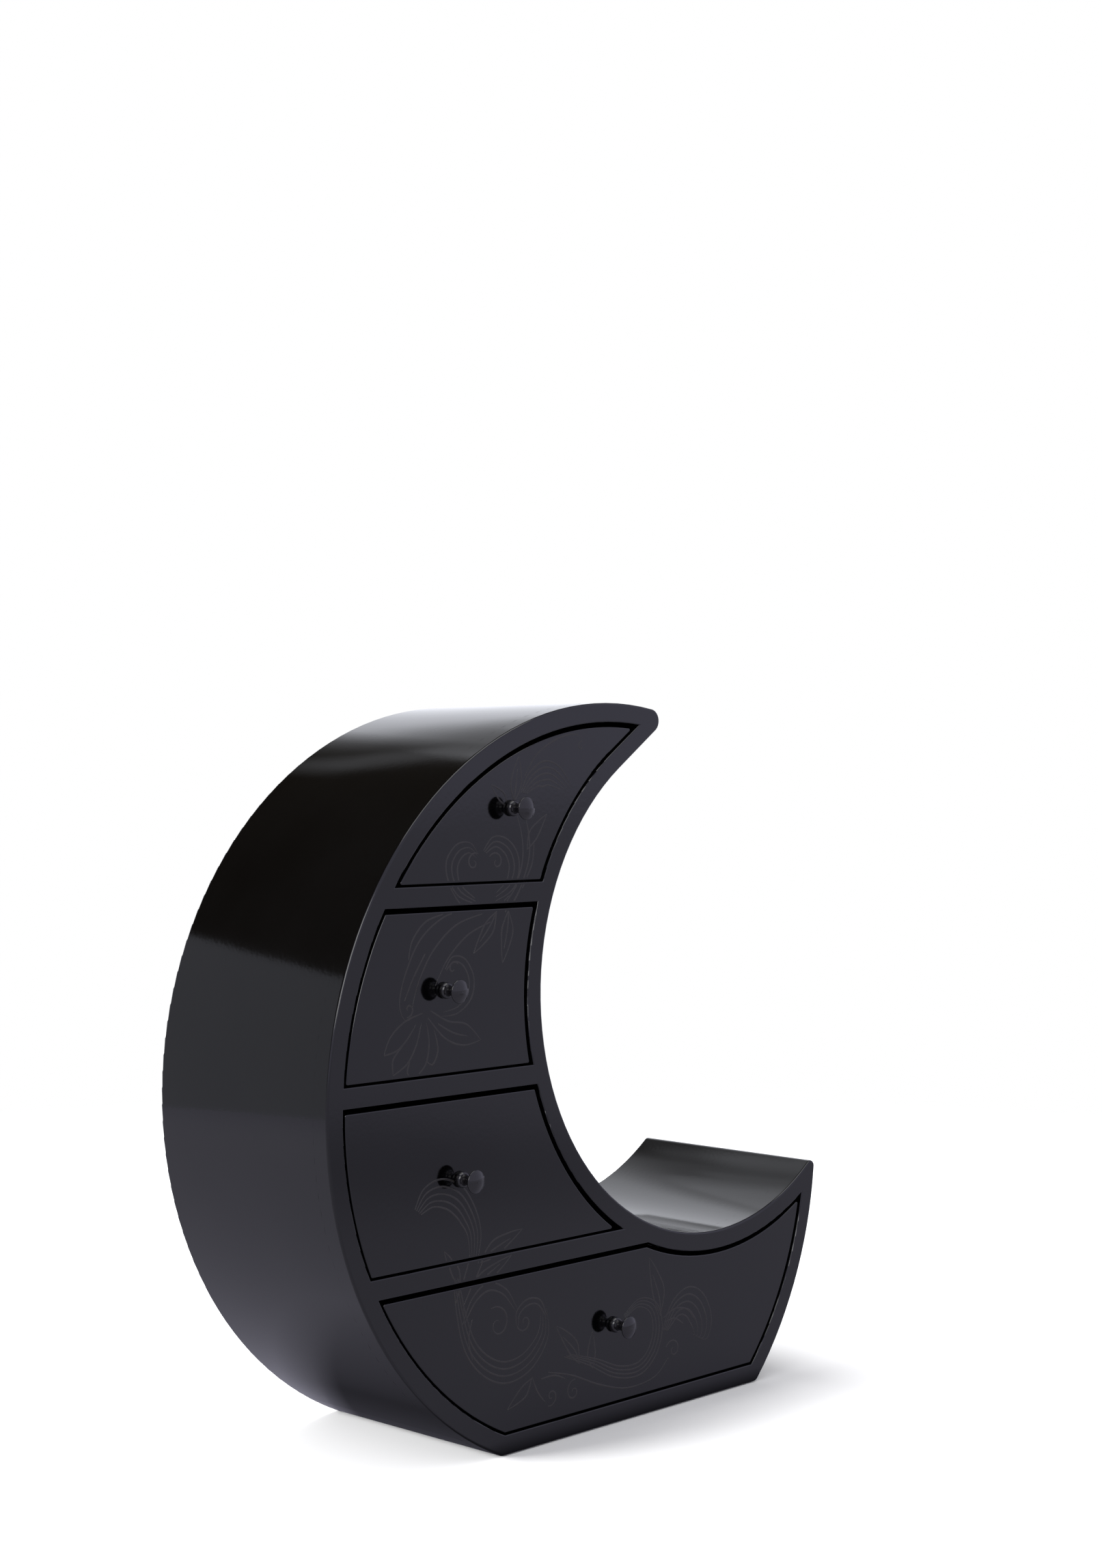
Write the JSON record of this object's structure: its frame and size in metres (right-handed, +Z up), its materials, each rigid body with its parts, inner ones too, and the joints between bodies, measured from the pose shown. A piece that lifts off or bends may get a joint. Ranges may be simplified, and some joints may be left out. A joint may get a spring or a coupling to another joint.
{
  "type": "jewelry armoire",
  "caption": "Small black crescent-shaped jewelry armoire, its case of bent boards holding inset drawers with round knobs.",
  "frame": {"origin": "on the floor, under the middle of the case's width and depth", "axes": "+Z up, +Y to the back, +X to the right seen from the front; the drawers open along -Y"},
  "size_m": [0.4424, 0.1642, 0.45],
  "materials": {
    "lacquer": "black satin-gloss lacquer over fibreboard, with a faint scroll ornament",
    "box_wood": "black-stained thin board, matt",
    "back_board": "black-painted hardboard, matt",
    "velvet": "burgundy velvet on card",
    "felt": "black felt",
    "knob_metal": "gloss black",
    "steel": "zinc-plated"
  },
  "bodies": {
    "case": {"back_panel": "back_board", "back_screws": "steel", "base_board": "lacquer", "base_felt": "felt", "face_frame": "lacquer", "horn_panel": "lacquer", "inner_panel": "lacquer", "lower_shelf": "lacquer", "middle_shelf": "lacquer", "outer_panel": "lacquer", "tip_block": "lacquer", "upper_shelf": "lacquer"},
    "bottom_drawer": {"bottom_drawer_back": "box_wood", "bottom_drawer_bottom": "box_wood", "bottom_drawer_front": "lacquer", "bottom_drawer_knob": "knob_metal", "bottom_drawer_knob_screw": "steel", "bottom_drawer_left_side": "box_wood", "bottom_drawer_lining": "velvet", "bottom_drawer_right_side": "box_wood"},
    "lower_drawer": {"lower_drawer_back": "box_wood", "lower_drawer_bottom": "box_wood", "lower_drawer_front": "lacquer", "lower_drawer_knob": "knob_metal", "lower_drawer_knob_screw": "steel", "lower_drawer_left_side": "box_wood", "lower_drawer_lining": "velvet", "lower_drawer_right_side": "box_wood"},
    "middle_drawer": {"middle_drawer_back": "box_wood", "middle_drawer_bottom": "box_wood", "middle_drawer_front": "lacquer", "middle_drawer_knob": "knob_metal", "middle_drawer_knob_screw": "steel", "middle_drawer_left_side": "box_wood", "middle_drawer_lining": "velvet", "middle_drawer_right_side": "box_wood"},
    "top_drawer": {"top_drawer_back": "box_wood", "top_drawer_bottom": "box_wood", "top_drawer_front": "lacquer", "top_drawer_knob": "knob_metal", "top_drawer_knob_screw": "steel", "top_drawer_left_side": "box_wood", "top_drawer_lining": "velvet", "top_drawer_right_side": "box_wood"}
  },
  "joints": [
    {"name": "bottom_drawer_slide", "type": "slide", "parent": "case", "child": "bottom_drawer", "axis": [0, -1, 0], "range_m": [0, 0.095]},
    {"name": "lower_drawer_slide", "type": "slide", "parent": "case", "child": "lower_drawer", "axis": [0, -1, 0], "range_m": [0, 0.095]},
    {"name": "middle_drawer_slide", "type": "slide", "parent": "case", "child": "middle_drawer", "axis": [0, -1, 0], "range_m": [0, 0.095]},
    {"name": "top_drawer_slide", "type": "slide", "parent": "case", "child": "top_drawer", "axis": [0, -1, 0], "range_m": [0, 0.095]}
  ]
}
